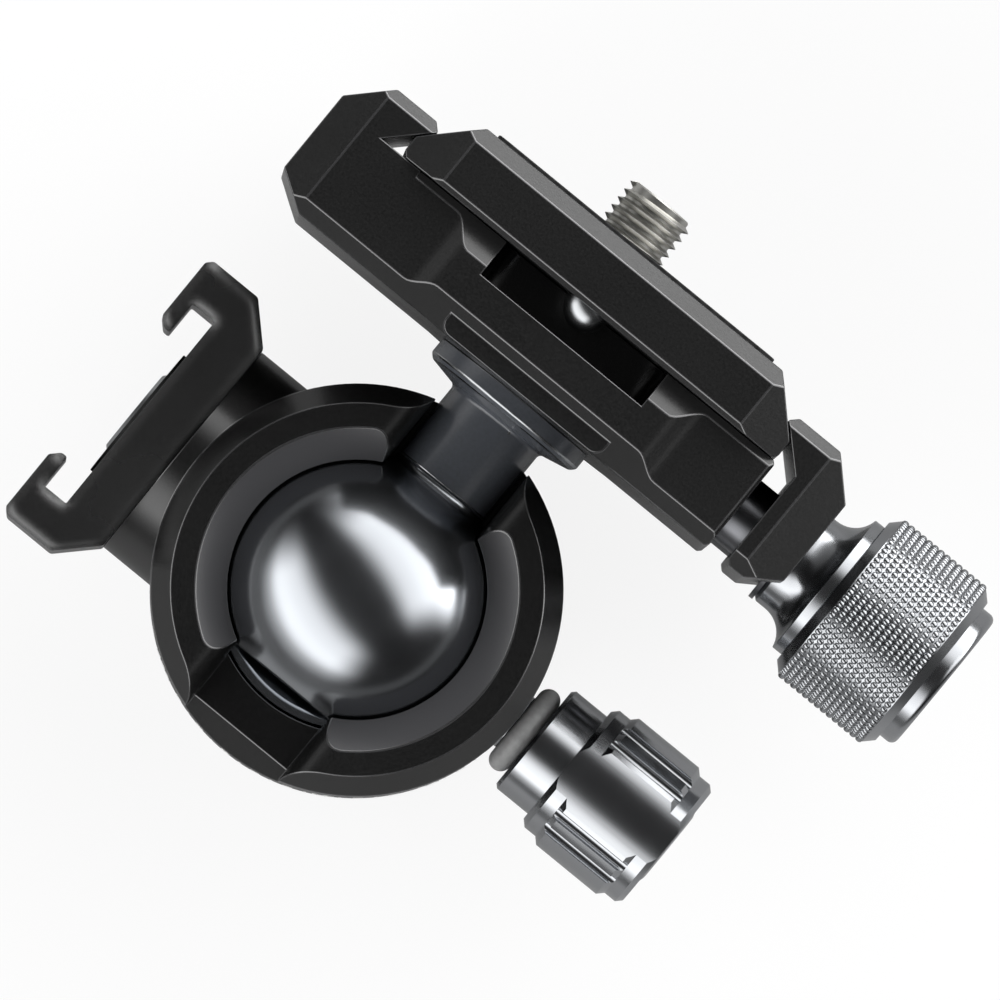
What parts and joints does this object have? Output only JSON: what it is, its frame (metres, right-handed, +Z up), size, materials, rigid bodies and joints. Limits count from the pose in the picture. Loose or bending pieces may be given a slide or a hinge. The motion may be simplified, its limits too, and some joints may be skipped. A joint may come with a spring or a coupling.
{
  "type": "tripod ball head",
  "caption": "Small tripod ball head with two drop notches, a lock knob, a screw clamp with a dovetail plate, and a cold shoe on an arm.",
  "frame": {"origin": "centre of the tripod socket in the underside of the base", "axes": "+X towards the lock knob and clamp knob, +Y along the stem towards the camera screw, +Z up the pan axis"},
  "size_m": [0.0666, 0.0557, 0.043],
  "materials": {
    "black_anodised": "fine matt black anodised",
    "dark_anodised": "smooth dark grey anodised",
    "silver_anodised": "satin turned",
    "ball_chrome": "polished",
    "steel": "bright",
    "screw_steel": "warm grey, threaded",
    "dark_steel": "blackened",
    "spring_steel": "plain",
    "brass": "plain",
    "glide_plastic": "waxy white",
    "black_rubber": "fine ribbed",
    "grey_rubber": "smooth"
  },
  "bodies": {
    "base": {"base_plate": "black_anodised", "socket_bush": "steel", "pivot_washer": "steel", "pivot_screw": "steel", "pan_glide": "glide_plastic"},
    "pan": {"housing": "black_anodised", "floor_plate": "black_anodised", "cup_spring": "spring_steel", "lower_cup": "dark_anodised", "shoe_block": "black_anodised", "shoe_washer": "black_rubber", "shoe_screw": "steel"},
    "wedge": {"lock_pin": "brass"},
    "lock": {"lock_screw": "steel", "lock_seal": "grey_rubber", "lock_knob": "silver_anodised", "lock_end_cap": "silver_anodised"},
    "ball_body": {"ball": "ball_chrome"},
    "platform": {"stem": "dark_anodised", "stem_key": "steel", "clamp_body": "black_anodised", "clamp_bolt": "dark_steel", "jaw_springs": "spring_steel"},
    "jaw": {"moving_jaw": "black_anodised", "guide_rods": "steel", "thrust_washer": "glide_plastic"},
    "clamp_knob": {"clamp_screw": "steel", "knob_hub": "silver_anodised", "knob_grip": "silver_anodised", "knob_cap": "silver_anodised"},
    "plate_body": {"plate": "black_anodised", "plate_pad": "black_rubber", "stop_pins": "steel"},
    "screw_body": {"camera_screw": "screw_steel", "screw_clip": "dark_steel"}
  },
  "joints": [
    {"name": "pan_turn", "type": "hinge", "parent": "base", "child": "pan", "pos_m": [0, 0, 0.0084], "axis": [0, 0, 1], "continuous": true},
    {"name": "wedge_slide", "type": "slide", "parent": "pan", "child": "wedge", "axis": [1, 0, 0], "range_m": [0, 0.001]},
    {"name": "lock_turn", "type": "hinge", "parent": "wedge", "child": "lock", "pos_m": [0.0184, 0, 0.0155], "axis": [1, 0, 0], "range_deg": [0, 360]},
    {"name": "ball_drop", "type": "hinge", "parent": "pan", "child": "ball_body", "pos_m": [0, 0, 0.024], "axis": [1, 0, 0], "range_deg": [0, 180]},
    {"name": "stem_swivel", "type": "hinge", "parent": "ball_body", "child": "platform", "pos_m": [0, 0.011, 0.024], "axis": [0, 1, 0], "continuous": true},
    {"name": "jaw_slide", "type": "slide", "parent": "platform", "child": "jaw", "axis": [1, 0, 0], "range_m": [0, 0.004]},
    {"name": "clamp_turn", "type": "hinge", "parent": "jaw", "child": "clamp_knob", "pos_m": [0.0293, 0.02395, 0.024], "axis": [1, 0, 0], "range_deg": [0, 1440]},
    {"name": "plate_slide", "type": "slide", "parent": "platform", "child": "plate_body", "axis": [0, 0, 1], "range_m": [-0.003, 0.003]},
    {"name": "screw_turn", "type": "hinge", "parent": "plate_body", "child": "screw_body", "pos_m": [-0.00067, 0.0348, 0.024], "axis": [0, 1, 0], "continuous": true}
  ],
  "couplings": [
    {"joint": "lock_turn", "follows": "wedge_slide", "rad_per_m": 6283.2},
    {"joint": "clamp_turn", "follows": "jaw_slide", "rad_per_m": 6283.2}
  ]
}
